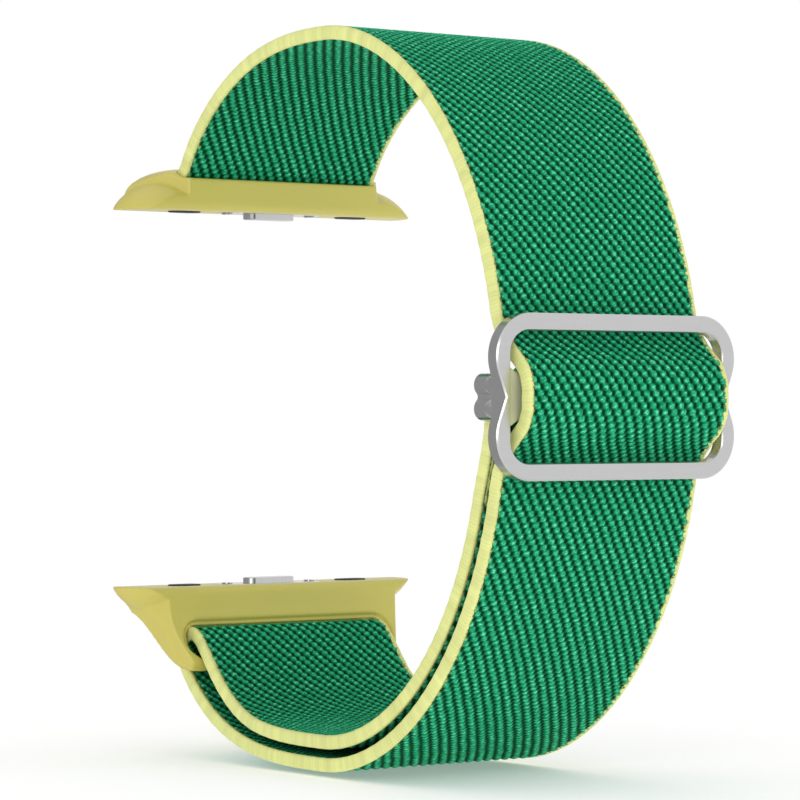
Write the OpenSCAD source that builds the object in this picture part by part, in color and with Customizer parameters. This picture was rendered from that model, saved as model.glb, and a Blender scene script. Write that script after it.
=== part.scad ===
// Elastic watch band: woven elastic webbing on a slide buckle, with a lug at each end
// that slides into a watch case. All sizes are in millimetres.
// Origin: the middle of the watch case that the band is made for. X runs across the band,
// -Y points at the buckle, +Z at the upper lug. Shapes in the side view are [y, z] points.

/* [Webbing] */
// Width of the webbing
band_w = 24; // [18:0.5:26]
// Thickness of the webbing
band_t = 1.4; // [1.1:0.05:1.6]
// Width of the coloured selvedge on each face
selvedge_w = 0.55; // [0.3:0.05:0.9]
// How far the selvedge is rounded off at its edge
selvedge_round = 0.22; // [0.1:0.02:0.35]
// Space between the inner and the outer layer under the wrist
layer_gap = 0.8; // [0.5:0.05:1.2]
// Width of the webbing's narrower sewn end, which wraps the middle bar
loop_w = 19; // [15:0.5:20]
// Thickness of the pressed tail under the seam
tail_t = 0.5; // [0.3:0.05:0.55]

/* [Loop] */
// Distance of the loop's widest line from the case centre
loop_centre = 26; // [24:0.5:28]
// Height of the outer face above the case centre
loop_top = 35.9; // [34.5:0.1:38]
// Depth of the outer face below the case centre
loop_bottom = 36.1; // [35:0.1:38]
// Reach of the outer face from the widest line towards the buckle
loop_front = 28.3; // [27.6:0.1:31]
// Reach of the outer face from the widest line towards the case
loop_back = 30.2; // [29.9:0.1:31]

/* [Buckle] */
// Side clearance of the webbing in the buckle's window
window_side = 0.7; // [0.5:0.05:1.5]
// Outer height of the buckle frame
buckle_h = 15.2; // [14.6:0.1:17]
// Corner radius of the buckle frame
buckle_r = 4; // [3.4:0.1:4.4]
// Width of the frame's rim, seen from the front
rim_w = 1.6; // [1.3:0.05:1.8]
// Depth of the V in each side of the frame
waist_in = 1.1; // [0.6:0.05:1.2]
// Corner radius of the frame's window
window_r = 2.1; // [1.8:0.1:2.6]
// Thickness of the frame
frame_t = 1.3; // [1:0.05:1.6]
// Bevel round the front edges of the frame
frame_bevel = 0.26; // [0.1:0.02:0.35]
// Distance of the middle bar's axis behind the outer face of the loop
bar_in = 0.37; // [0.3:0.01:0.5]
// Height of the middle bar
bar_h = 3.2; // [2.8:0.1:3.4]
// Thickness of the middle bar
bar_t = 2.05; // [1.8:0.05:2.2]
// Height of the ears that carry the middle bar
ear_h = 4.3; // [3.8:0.1:4.8]
// Distance of the ears' slanted fronts behind the frame's front, at the waist
ear_set = 0.42; // [0.4:0.01:0.6]
// Distance from the bar's axis to the outer end of those fronts
ear_front = 0.4; // [0.3:0.05:0.6]
// Height of the middle bar where it runs into the frame
root_h = 5.6; // [4.6:0.1:6]
// Length over which the middle bar spreads to that height
flare_l = 3; // [2:0.1:3]
// Share of that length in which the bar's front rises to the frame's front
rise_share = 0.5; // [0.4:0.05:0.9]
// Radius of the spigot on each end of the middle bar
spigot_r = 0.6; // [0.4:0.05:0.7]
// Clearance between the middle bar and the sewn loop
loop_clear = 0.1; // [0.06:0.01:0.15]
// Clearance between the sewn loop and the layer that runs over it
over_clear = 0.25; // [0.2:0.01:0.4]

/* [Lugs] */
// Distance between the inner faces of the two lugs
lug_gap = 38.3; // [37.8:0.1:39]
// Length of the lug tongue across the case
lug_w = 35.8; // [34:0.2:37]
// Width of the lug tongue through the thickness of the case
lug_d = 6; // [5.4:0.1:6.6]
// Thickness of the lug tongue
lug_t = 3.05; // [2.9:0.05:3.2]
// Corner radius of the watch case, which the lug's ends follow
case_r = 6; // [5.4:0.1:6.6]
// How far the lug's outer side falls away towards the wrist, like the case's side
crown = 1.6; // [1:0.1:1.8]
// Depth of the pocket that holds the webbing in the upper lug
pocket_depth = 1.7; // [1.2:0.05:1.8]
// Clearance of the webbing in the upper lug's pocket
pocket_clear = 0.05; // [0.02:0.01:0.08]
// Side clearance of the webbing in the lower lug's slot
slot_side = 0.6; // [0.4:0.05:0.8]
// Height of the slot in the lower lug
slot_h = 3.3; // [3.2:0.05:3.4]
// Width of the recess round the slot
slot_rim = 0.45; // [0.2:0.05:0.5]
// How far the slot's roof steps down behind the webbing
slot_lip = 0.5; // [0.2:0.05:0.8]
// Height of the bar that the webbing turns round in the lower lug
turn_bar_h = 1.2; // [1:0.05:1.4]
// Depth of that bar from front to back
turn_bar_d = 2.2; // [2:0.05:2.3]

/* [Catches] */
// Length of the catch nose
catch_w = 6; // [5:0.1:7]
// Width of the catch nose
catch_d = 1.8; // [1.6:0.1:2.2]
// How far the catch nose stands out of the lug, which is also its travel
catch_out = 0.6; // [0.4:0.05:0.7]
// Width of the flange round the catch
flange_w = 0.5; // [0.3:0.05:0.6]
// Thickness of the catch flange and of the retaining plate
plate_t = 0.3; // [0.25:0.05:0.35]
// Thickness of the leaf spring
spring_t = 0.12; // [0.08:0.01:0.16]
// Running clearance round the catch
catch_clear = 0.06; // [0.04:0.01:0.1]
// Head radius of the retaining screws
screw_r = 0.55; // [0.45:0.05:0.7]
// Length of a retaining screw under its plate
screw_l = 1; // [0.7:0.1:1.2]
// Height of a retaining screw's head
head_h = 0.15; // [0.1:0.01:0.2]
// Distance between the two retaining screws
screw_pitch = 10.4; // [10:0.1:12]
// Distance between the two bumper pads
pad_pitch = 21; // [19:0.2:23]
// Length of a bumper pad
pad_w = 3.6; // [2.8:0.1:4.2]
// Width of a bumper pad
pad_d = 2; // [1.6:0.1:2.4]
// How far a bumper pad stands out of the lug
pad_out = 0.12; // [0.08:0.01:0.2]

/* [Stitching] */
// Number of stitches in a row
stitches = 9; // [6:1:12]
// Distance from the end of a row of stitches to the edge of the webbing
seam_margin = 1; // [0.8:0.1:2]
// Length of a stitch
stitch_l = 1.3; // [1:0.05:1.4]
// Radius of the thread
thread_r = 0.16; // [0.12:0.01:0.2]

/* [Hidden] */
$fn = 48;
eps = 0.01;

green = [0.06, 0.55, 0.35];
yellow = [0.9, 0.9, 0.55];
gold = [0.85, 0.8, 0.4];
steel = [0.76, 0.76, 0.76];
dark_steel = [0.55, 0.56, 0.58];
grey = [0.35, 0.35, 0.36];

// Curves in the side view

function bezier(a, b, c, d, steps) = [for (i = [0 : steps]) let (t = i / steps, s = 1 - t)
    s * s * s * a + 3 * s * s * t * b + 3 * s * t * t * c + t * t * t * d];
function unit(v) = v / norm(v);
function left_of(v) = [-v[1], v[0]];
// Direction of a path at point i
function heading(path, i) =
    unit(path[min(i + 1, len(path) - 1)] - path[max(i - 1, 0)]);
function shifted(path, by) =
    [for (i = [0 : len(path) - 1]) path[i] + by * left_of(heading(path, i))];
function reversed(path) = [for (i = [len(path) - 1 : -1 : 0]) path[i]];
// Outline of a strip between two distances to the left of a path
function strip(path, from, to) = concat(shifted(path, from), reversed(shifted(path, to)));
function tail_of(path, from) = [for (i = [from : len(path) - 1]) path[i]];

// One quarter of the band's loop. reach and height are the semi-axes and power its
// squareness, with 2 for an ellipse. The angle starts on the Y axis.
function quarter_point(reach, height, power, angle) = [
    -loop_centre + reach * pow(cos(angle), 2 / power),
    height * pow(sin(angle), 2 / power)];
function quarter(reach, height, power, from, to, steps) =
    [for (i = [0 : steps]) quarter_point(reach, height, power, from + (to - from) * i / steps)];
function at_height(height, z, power) = asin(pow(z / height, power / 2));

front_power = 1.95;
upper_back_power = 2.4;
lower_back_power = 3;
mid = band_t / 2;
inner_inset = mid + band_t + layer_gap;
// Hairline between two lengths of the strap
hairline = 0.05;

// Middle bar of the buckle, and what wraps it
bar_y = bar_in - loop_centre - loop_front;
bar_r = bar_t / 2;
bar_end_z = bar_h / 2 - bar_r;
ring_in = bar_r + loop_clear;
ring_out = ring_in + band_t;
over_r = ring_out + over_clear + mid;
frame_back = bar_y - bar_r;
frame_front = frame_back - frame_t;

// Upper run, from its end in the upper lug's pocket to the top of the buckle
joint_z = 8;
lug_z = lug_gap / 2;
mouth = [-1.7, 23.1];
pocket_dir = unit([2, -2.8]);
upper_start = 45;
upper_front_end = at_height(loop_top - mid, joint_z, front_power);
upper_back = quarter(loop_back - mid, loop_top - mid, upper_back_power, upper_start, 90, 14);
upper_run = concat(
    [mouth + (pocket_depth - pocket_clear) * pocket_dir],
    bezier(mouth, mouth - 1.6 * pocket_dir, upper_back[0] - 1.6 * heading(upper_back, 0),
        upper_back[0], 6),
    tail_of(upper_back, 1),
    tail_of(quarter(-loop_front + mid, loop_top - mid, front_power, 90, upper_front_end, 26), 1));

// Over the middle bar: a round crest, and a curve down to the run on each side
crest_angle = 50;
shoulder_low = 2.2;
shoulder_high = 1.9;
function crest_point(angle, side) =
    [bar_y - over_r * cos(angle), side * (bar_end_z + over_r * sin(angle))];
function crest_dir(side) = [sin(crest_angle), side * cos(crest_angle)];
function shoulder(run_point, run_dir, side) =
    bezier(run_point + hairline * run_dir, run_point + shoulder_low * run_dir,
        crest_point(crest_angle, side) + shoulder_high * crest_dir(side),
        crest_point(crest_angle, side), 10);
upper_joint = upper_run[len(upper_run) - 1];
upper_dir = heading(upper_run, len(upper_run) - 1);
lower_front_start = at_height(loop_bottom - mid, joint_z, front_power);
function flipped(path) = [for (p = path) [p[0], -p[1]]];
front_lower = flipped(quarter(-loop_front + mid, loop_bottom - mid, front_power,
    lower_front_start, 90, 26));
lower_joint = front_lower[0];
lower_dir = -heading(front_lower, 0);
crest = [for (i = [-8 : 8]) crest_point(abs(i) / 8 * crest_angle, i < 0 ? 1 : -1)];
over_bar = concat(
    shoulder(upper_joint, upper_dir, 1),
    [for (i = [1 : len(crest) - 2]) crest[i]],
    reversed(shoulder(lower_joint, lower_dir, -1)));

// Lower run: outer layer, round the lower lug's turn bar, and back as the inner layer
slot_top = -23.1;
slot_bottom = slot_top - slot_h;
turn_bar_bottom = slot_bottom - turn_bar_h;
turn_bar_back = -3;
turn_bar_front = turn_bar_back - turn_bar_d;
turn_top = [-3.4, slot_top - 0.25 - mid];
turn_back_z = slot_top - 3.9;
back_end = at_height(loop_bottom - mid, -turn_back_z, lower_back_power);
back_lower = flipped(quarter(loop_back - mid, loop_bottom - mid, lower_back_power,
    90, back_end, 18));
turn_back = back_lower[len(back_lower) - 1];
turn_back_dir = heading(back_lower, len(back_lower) - 1);
inner_reach = loop_back - inner_inset;
inner_height = loop_bottom - inner_inset;
inner_from = 15.5;
inner_start = acos(pow((loop_centre - inner_from) / inner_reach, lower_back_power / 2));
inner_back = flipped(quarter(inner_reach, inner_height, lower_back_power, inner_start, 90, 12));
turn_front = inner_back[0];
turn_front_dir = heading(inner_back, 0);
turn_in = [1.4, 1.9];
turn_out = [2.2, 8];
turn = concat(
    bezier(turn_back, turn_back + turn_in[0] * turn_back_dir, turn_top + [turn_in[1], 0],
        turn_top, 10),
    tail_of(bezier(turn_top, turn_top - [turn_out[0], 0],
        turn_front - turn_out[1] * turn_front_dir, turn_front, 18), 1));
seam_low = 9.5;
inner_end = at_height(inner_height, seam_low, front_power);
inner_front = flipped(quarter(-loop_front + inner_inset, inner_height, front_power,
    90, inner_end, 22));
lower_run = concat(front_lower, tail_of(back_lower, 1), tail_of(turn, 1),
    tail_of(inner_back, 1), tail_of(inner_front, 1));

// Sewn end: up behind the middle bar, round it, and a short tail back to the seam
inner_joint = inner_front[len(inner_front) - 1];
inner_dir = heading(inner_front, len(inner_front) - 1);
behind_bar = [bar_y + ring_in + mid, -bar_end_z];
leg_low = 3;
leg_high = 3.5;
end_leg = concat(
    bezier(inner_joint + hairline * inner_dir, inner_joint + leg_low * inner_dir,
        behind_bar - [0, leg_high], behind_bar, 12),
    [[behind_bar[0], bar_end_z]]);
tail_low = 2;
tail_high = 9;
tail_path = [for (i = [tail_low : tail_high]) end_leg[i]];
// The leg keeps its full width up to this point, just under the ears
wide_end = 10;
wide_leg = [for (i = [0 : wide_end]) end_leg[i]];
seam_rows = [5, 7];

// Shared shapes

// Extrudes a [y, z] outline across the band
module across(w, x = 0) {
    translate([x, 0, 0]) rotate([90, 0, 90]) linear_extrude(w, center = true) children();
}
// Extrudes an [x, z] outline from y = from to y = to
module along_y(from, to) {
    translate([0, to, 0]) rotate([90, 0, 0]) linear_extrude(to - from) children();
}
// Extrudes an [x, y] outline from z = from to z = to
module along_z(from, to) {
    translate([0, 0, from]) linear_extrude(to - from) children();
}
module round_rect(w, h, r) {
    square([w - 2 * r, h], center = true);
    square([w, h - 2 * r], center = true);
    for (x = [-1, 1], y = [-1, 1]) translate([x * (w / 2 - r), y * (h / 2 - r)]) circle(r);
}
module slot_shape(w, h) {
    square([w - h, h], center = true);
    for (x = [-1, 1]) translate([x * (w - h) / 2, 0]) circle(h / 2);
}
module webbing(path, w = band_w - 2 * selvedge_w) {
    across(w) polygon(strip(path, -mid, mid));
}
// Both selvedges along a path: a full strip and a thinner rim outside it
module selvedge(path) {
    for (side = [-1, 1]) {
        across(selvedge_w - selvedge_round,
            side * (band_w / 2 - selvedge_round - (selvedge_w - selvedge_round) / 2))
            polygon(strip(path, -mid, mid));
        across(selvedge_round + eps, side * (band_w / 2 - (selvedge_round + eps) / 2))
            polygon(strip(path, -mid + selvedge_round, mid - selvedge_round));
    }
}

module webbing_upper_run() { color(green) webbing(upper_run); }
module webbing_over_bar() { color(green) webbing(over_bar); }
module webbing_lower_run() { color(green) webbing(lower_run); }
module selvedge_upper_run() { color(yellow) selvedge(upper_run); }
module selvedge_over_bar() { color(yellow) selvedge(over_bar); }
module selvedge_lower_run() { color(yellow) selvedge(lower_run); }
module selvedge_end_loop() { color(yellow) selvedge(wide_leg); }

// Outline round the middle bar, as two circles joined by a square
module bar_outline(r) {
    for (side = [-1, 1]) translate([bar_y, side * bar_end_z]) circle(r);
    translate([bar_y, 0]) square([2 * r, 2 * bar_end_z], center = true);
}
module webbing_end_loop() {
    color(green) {
        webbing(wide_leg);
        webbing(tail_of(end_leg, wide_end - 1), loop_w);
        across(loop_w) {
            difference() {
                bar_outline(ring_out);
                bar_outline(ring_in);
            }
            polygon(strip(tail_path, mid - eps, mid + tail_t));
        }
    }
}

// Rows of stitches on both faces of the seam
module end_loop_stitching() {
    pitch = (loop_w - 2 * seam_margin) / stitches;
    color(yellow) for (row = seam_rows, face = [-1, 1]) {
        side = face < 0 ? -mid : mid + tail_t;
        place = end_leg[row] + (side + face * thread_r * 0.6) * left_of(heading(end_leg, row));
        for (i = [0 : stitches - 1])
            translate([(i - (stitches - 1) / 2) * pitch, place[0], place[1]])
                rotate([0, 90, 0]) cylinder(r = thread_r, h = stitch_l, center = true, $fn = 16);
    }
}

// Slide buckle

window_w = band_w + 2 * window_side;
buckle_w = window_w + 2 * rim_w;
lobe_x = buckle_w / 2 - buckle_r;
lobe_z = buckle_h / 2 - buckle_r;
waist_x = buckle_w / 2 - waist_in;
window_h = buckle_h - 2 * rim_w;

// The flank on each side of a waist touches a corner lobe and ends at the tip of the V
module frame_outline(inset) {
    r = buckle_r - inset;
    tip = waist_x - inset;
    reach = norm([lobe_x - tip, lobe_z]);
    angle = atan2(-lobe_z, tip - lobe_x) + acos(r / reach);
    touch = [lobe_x + r * cos(angle), lobe_z + r * sin(angle)];
    square([2 * lobe_x, buckle_h - 2 * inset], center = true);
    for (x = [-1, 1], z = [-1, 1]) translate([x * lobe_x, z * lobe_z]) circle(r, $fn = 72);
    for (x = [-1, 1]) polygon([[0, lobe_z], [x * lobe_x, lobe_z], [x * touch[0], touch[1]],
        [x * tip, 0], [x * touch[0], -touch[1]], [x * lobe_x, -lobe_z], [0, -lobe_z]]);
}
module frame_ring(inset) {
    difference() {
        frame_outline(inset);
        round_rect(window_w + 2 * inset, window_h + 2 * inset, window_r + inset);
    }
}
// A lobed ear behind each waist carries one end of the middle bar. Its two lobes run into
// each other in a round valley.
ear_r = ear_h / 4;
ear_x = buckle_w / 2 - ear_r;
valley_r = 0.43 * ear_r;
valley_x = sqrt(pow(ear_r + valley_r, 2) - ear_r * ear_r);
valley_end = [ear_x + valley_x * ear_r / (ear_r + valley_r),
    ear_r * valley_r / (ear_r + valley_r)];
module ear_outline() {
    for (z = [-1, 1]) translate([ear_x, z * ear_r]) circle(ear_r);
    translate([window_w / 2, -ear_h / 2]) square([ear_x - window_w / 2, ear_h]);
    difference() {
        polygon([[ear_x - eps, ear_r], valley_end, [valley_end[0], -valley_end[1]],
            [ear_x - eps, -ear_r]]);
        translate([ear_x + valley_x, 0]) circle(valley_r);
    }
}
// The front slants back from the waist to the outer end
module ear_top_view() {
    back = bar_y + bar_r;
    polygon([[window_w / 2, back], [window_w / 2, frame_back - frame_t / 2],
        [waist_x, frame_front + ear_set], [buckle_w / 2, bar_y - ear_front],
        [buckle_w / 2, back]]);
}
module buckle_frame() {
    color(steel) difference() {
        union() {
            along_y(frame_front + frame_bevel, frame_back) frame_ring(0);
            along_y(frame_front, frame_front + frame_bevel + eps) frame_ring(frame_bevel);
            for (x = [0, 1]) mirror([x, 0, 0]) intersection() {
                along_y(frame_front, bar_y + bar_r) ear_outline();
                along_z(-ear_h / 2, ear_h / 2) ear_top_view();
            }
        }
        translate([0, bar_y, 0]) rotate([0, 90, 0])
            cylinder(r = spigot_r, h = window_w + 2 * ear_r, center = true);
    }
}
// Straight between the ears. Each end spreads towards the frame and rises to its front as a
// saddle, and has a spigot into the ear.
foot_steps = 8;
function foot_x(t) = window_w / 2 - flare_l * (1 - t);
module bar_foot() {
    low = bar_h / 2 - 0.1;
    curve = [for (i = [0 : foot_steps]) let (t = i / foot_steps)
        [foot_x(t), low + (root_h / 2 - low) * pow(t, 1.5)]];
    polygon(concat(curve, reversed([for (p = curve) [p[0], -p[1]]])));
}
module saddle_top_view() {
    rise = frame_t - frame_bevel;
    back = bar_y + bar_r;
    curve = [for (i = [0 : foot_steps]) let (t = i / foot_steps)
        [foot_x(t * rise_share), frame_back - rise * t * t * (3 - 2 * t)]];
    polygon(concat(curve, [[foot_x(1), frame_back - rise], [foot_x(1), back - 0.3],
        [foot_x(0.9), back], [foot_x(0), back]]));
}
module buckle_bar() {
    color(steel) {
        across(window_w) bar_outline(bar_r);
        for (x = [0, 1]) mirror([x, 0, 0]) intersection() {
            along_y(frame_front, bar_y + bar_r) bar_foot();
            along_z(-root_h / 2, root_h / 2) saddle_top_view();
        }
        translate([0, bar_y, 0]) rotate([0, 90, 0])
            cylinder(r = spigot_r, h = window_w + 2 * ear_r - 0.4, center = true);
    }
}

// Lugs. Both are drawn as the upper one, and the lower one is turned over.

lug_top = lug_z + lug_t;
case_x = lug_w / 2 - sqrt(case_r * case_r - pow(case_r - lug_t, 2));
socket_low = lug_top - crown - 0.3;
catch_flange_z = lug_z + plate_t + catch_clear;
pocket_roof = catch_flange_z + plate_t + catch_out + 2 * spring_t;

// The tongue slides in the case. Its outer side is crowned through its width and swept
// round the case's corners.
crown_y = 1;
function crown_drop(y) = crown * pow((y - crown_y) / (lug_d / 2 + crown_y), 2);
module tongue() {
    steps = 8;
    rise = [for (i = [0 : steps]) let (y = lug_d * (i / steps - 0.5)) [y, case_r - crown_drop(y)]];
    base = lug_top - case_r;
    difference() {
        intersection() {
            union() {
                across(2 * case_x) translate([0, base])
                    polygon(concat([[-lug_d / 2, 0]], rise, [[lug_d / 2, 0]]));
                for (x = [0, 1]) mirror([x, 0, 0]) translate([case_x, 0, base])
                    rotate([-90, 0, 0]) rotate_extrude(angle = -90)
                        polygon(concat([[0, -lug_d / 2]], [for (p = rise) [p[1], p[0]]],
                            [[0, lug_d / 2]]));
            }
            across(lug_w + 2) translate([0, lug_z + case_r]) round_rect(lug_d, 2 * case_r, 0.8);
        }
        translate([-lug_w, -lug_d, lug_z - 2 * case_r]) cube([2 * lug_w, 2 * lug_d, 2 * case_r]);
    }
}
// Pocket for the catch, its plate and its screws, open on the inner face
plate_w = screw_pitch + 2 * screw_r + 1;
plate_d = catch_d + 2 * flange_w + 0.6;
module catch_pocket() {
    along_z(lug_z - 1, lug_z + plate_t) slot_shape(plate_w, plate_d);
    along_z(lug_z, pocket_roof)
        slot_shape(catch_w + 2 * (flange_w + catch_clear), catch_d + 2 * (flange_w + catch_clear));
    for (x = [-1, 1]) translate([x * screw_pitch / 2, 0, lug_z])
        cylinder(r = screw_r * 0.6, h = plate_t + screw_l);
}
module pad_pockets() {
    for (x = [-1, 1]) translate([x * pad_pitch / 2, 0, lug_z - 1])
        linear_extrude(1.5) slot_shape(pad_w, pad_d);
}
module catch_part(material) {
    color(material) {
        along_z(lug_z - catch_out, catch_flange_z + plate_t) slot_shape(catch_w, catch_d);
        along_z(catch_flange_z, catch_flange_z + plate_t)
            slot_shape(catch_w + 2 * flange_w, catch_d + 2 * flange_w);
    }
}
// A bowed strip between the catch and the roof of its pocket
module leaf_spring() {
    rise = pocket_roof - catch_flange_z - plate_t - spring_t - 0.02;
    half = catch_w / 2 - 0.2;
    bow = [for (i = [0 : 12]) let (t = i / 12)
        [half * (2 * t - 1), catch_flange_z + plate_t + 0.01 + spring_t / 2 + rise * sin(180 * t)]];
    color(dark_steel) along_y(-catch_d / 2 + 0.2, catch_d / 2 - 0.2)
        polygon(strip(bow, -spring_t / 2, spring_t / 2));
}
module retainer_plate() {
    color(steel) difference() {
        along_z(lug_z, lug_z + plate_t) slot_shape(plate_w, plate_d);
        along_z(lug_z - 1, lug_z + plate_t + 1)
            slot_shape(catch_w + 2 * catch_clear, catch_d + 2 * catch_clear);
        for (x = [-1, 1]) translate([x * screw_pitch / 2, 0, lug_z - 1])
            cylinder(r = screw_r * 0.6, h = plate_t + 2);
    }
}
module retainer_screws() {
    color(dark_steel) for (x = [-1, 1]) translate([x * screw_pitch / 2, 0, lug_z])
        difference() {
            union() {
                cylinder(r = screw_r * 0.6, h = plate_t + screw_l);
                translate([0, 0, -head_h]) cylinder(r = screw_r, h = head_h);
            }
            translate([-screw_r, -head_h / 2, -head_h - eps])
                cube([2 * screw_r, head_h, head_h * 2 / 3]);
        }
}
module lug_pads() {
    color(grey) for (x = [-1, 1]) translate([x * pad_pitch / 2, 0, lug_z - pad_out])
        linear_extrude(pad_out + 0.5) slot_shape(pad_w, pad_d);
}

// Socket over the upper tongue, with the pocket that the webbing's end is bonded in
socket_side = 0.9;
socket_half = band_w / 2 + socket_side;
socket_foot = socket_half + 3;
module socket_front() {
    top = lug_top + 1.3;
    half = bezier([-socket_foot, lug_top - 1.25], [-socket_foot + 0.3, lug_top - 0.2],
        [-socket_half - 0.1, top], [-socket_half + 2.4, top], 8);
    polygon(concat([[-socket_foot, socket_low]], half,
        reversed([for (p = half) [-p[0], p[1]]]), [[socket_foot, socket_low]]));
}
module socket_side_view() {
    front = -lug_d / 2;
    polygon(concat(
        [[front, socket_low], [front, lug_top + 0.2], [front + 0.6, lug_top + 0.25]],
        bezier([-0.75, lug_top + 1], [0.8, lug_top + 1.5],
            [lug_d / 2 - 0.1, lug_top + 1.5], [lug_d / 2, lug_top - 0.3], 8),
        [[lug_d / 2, socket_low]]));
}
// Outline seen along the band, from one end's curve. It rounds the end off towards the wrist.
module rounded_ends(half) {
    polygon(concat(half, reversed([for (p = half) [-p[0], p[1]]])));
}
module upper_lug_body() {
    color(gold) difference() {
        union() {
            tongue();
            intersection() {
                along_y(-lug_d, lug_d) socket_front();
                across(lug_w) socket_side_view();
                along_z(socket_low - 1, lug_top + 2) rounded_ends(bezier(
                    [socket_foot, lug_d / 2], [socket_half + 1.8, 0.5],
                    [socket_half - 0.3, -lug_d / 4], [socket_half - 1.1, -lug_d / 2], 8));
            }
        }
        across(band_w + 2 * pocket_clear) polygon(strip(
            [mouth + pocket_depth * pocket_dir, mouth - 3 * pocket_dir],
            -mid - pocket_clear, mid + pocket_clear));
        catch_pocket();
        pad_pockets();
    }
}

// Lower lug: two arms reach down to the turn bar, with the slot between them
slot_half = band_w / 2 + slot_side;
arm_out = slot_half + 1.85;
module arms_front() {
    half = concat(
        bezier([arm_out + 1.35, 1.25 - lug_top], [arm_out - 0.05, 0.2 - lug_top],
            [arm_out - 0.05, slot_bottom + 1.4], [arm_out - 0.8, slot_bottom - 0.2], 8),
        tail_of(bezier([arm_out - 0.8, slot_bottom - 0.2], [arm_out - 1.1, turn_bar_bottom + 0.3],
            [arm_out - 1.6, turn_bar_bottom], [arm_out - 2.4, turn_bar_bottom], 4), 1));
    top = [arm_out + 1.35, -socket_low];
    polygon(concat([top], half, reversed([for (p = half) [-p[0], p[1]]]), [[-top[0], top[1]]]));
}
module arms_side_view() {
    front = -lug_d / 2;
    polygon(concat(
        bezier([front, -socket_low], [front + 0.1, slot_top - 0.4],
            [turn_bar_front + 0.5, slot_bottom + 1],
            [turn_bar_front - 0.05, slot_bottom - 0.3], 8),
        [[turn_bar_front + 0.15, turn_bar_bottom], [turn_bar_back - 0.6, turn_bar_bottom]],
        bezier([turn_bar_back + 0.2, turn_bar_bottom + 0.6], [turn_bar_back + 2.3, slot_bottom + 1],
            [lug_d / 2 - 1.8, slot_top + 0.6], [lug_d / 2, -lug_top + 0.3], 8),
        [[lug_d / 2, -socket_low]]));
}
// Cuts the middle of the turn bar to a round section, a little inside the arms
module round_turn_bar(w) {
    across(w) translate([turn_bar_back - turn_bar_d / 2, slot_bottom - turn_bar_h / 2])
        difference() {
            square([turn_bar_d + 2, turn_bar_h + 0.8], center = true);
            slot_shape(turn_bar_d - 0.1, turn_bar_h - 0.06);
        }
}
module lower_lug_body() {
    slot_mid = (slot_top + slot_bottom) / 2;
    slot_r = slot_h / 2 - 0.1;
    lean = atan((-lug_d / 2 - turn_bar_front) / (slot_h + 1));
    rim_y = (turn_bar_front - lug_d / 2) / 2 + 0.35;
    rim_h = (slot_h + slot_rim - 0.16) / cos(lean);
    lip_y = -0.2;
    color(gold) difference() {
        union() {
            mirror([0, 0, 1]) tongue();
            intersection() {
                along_y(-lug_d * 2, lug_d) arms_front();
                across(lug_w) arms_side_view();
                along_z(turn_bar_bottom - 1, -socket_low + 1) rounded_ends(bezier(
                    [arm_out + 2, lug_d / 2], [arm_out + 1.6, -1],
                    [slot_half + 1.2, 0.7 * turn_bar_front], [slot_half, turn_bar_front - 0.3], 8));
            }
        }
        along_y(-lug_d * 2, lip_y) translate([0, slot_mid])
            round_rect(2 * slot_half, slot_h, slot_r);
        along_y(lip_y - eps, lug_d * 2) translate([0, slot_mid - slot_lip])
            round_rect(2 * slot_half, slot_h, slot_r);
        translate([0, rim_y, slot_mid + slot_rim / 2 + 0.04]) rotate([-lean, 0, 0]) along_y(-2, 0)
            round_rect(2 * (slot_half + slot_rim), rim_h, slot_r + slot_rim);
        translate([-slot_half, turn_bar_back, turn_bar_bottom - 1])
            cube([2 * slot_half, 2 * lug_d, slot_top - slot_r - turn_bar_bottom + 1]);
        round_turn_bar(2 * (slot_half - slot_r));
        mirror([0, 0, 1]) {
            catch_pocket();
            pad_pockets();
        }
    }
}

module upper_catch() { catch_part(steel); }
module upper_catch_spring() { leaf_spring(); }
module upper_retainer_plate() { retainer_plate(); }
module upper_retainer_screws() { retainer_screws(); }
module upper_lug_pads() { lug_pads(); }
module lower_catch() { mirror([0, 0, 1]) catch_part(steel); }
module lower_catch_spring() { mirror([0, 0, 1]) leaf_spring(); }
module lower_retainer_plate() { mirror([0, 0, 1]) retainer_plate(); }
module lower_retainer_screws() { mirror([0, 0, 1]) retainer_screws(); }
module lower_lug_pads() { mirror([0, 0, 1]) lug_pads(); }

webbing_upper_run();
webbing_over_bar();
webbing_lower_run();
webbing_end_loop();
selvedge_upper_run();
selvedge_over_bar();
selvedge_lower_run();
selvedge_end_loop();
end_loop_stitching();
buckle_frame();
buckle_bar();
upper_lug_body();
upper_catch();
upper_catch_spring();
upper_retainer_plate();
upper_retainer_screws();
upper_lug_pads();
lower_lug_body();
lower_catch();
lower_catch_spring();
lower_retainer_plate();
lower_retainer_screws();
lower_lug_pads();
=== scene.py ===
import math

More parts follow.
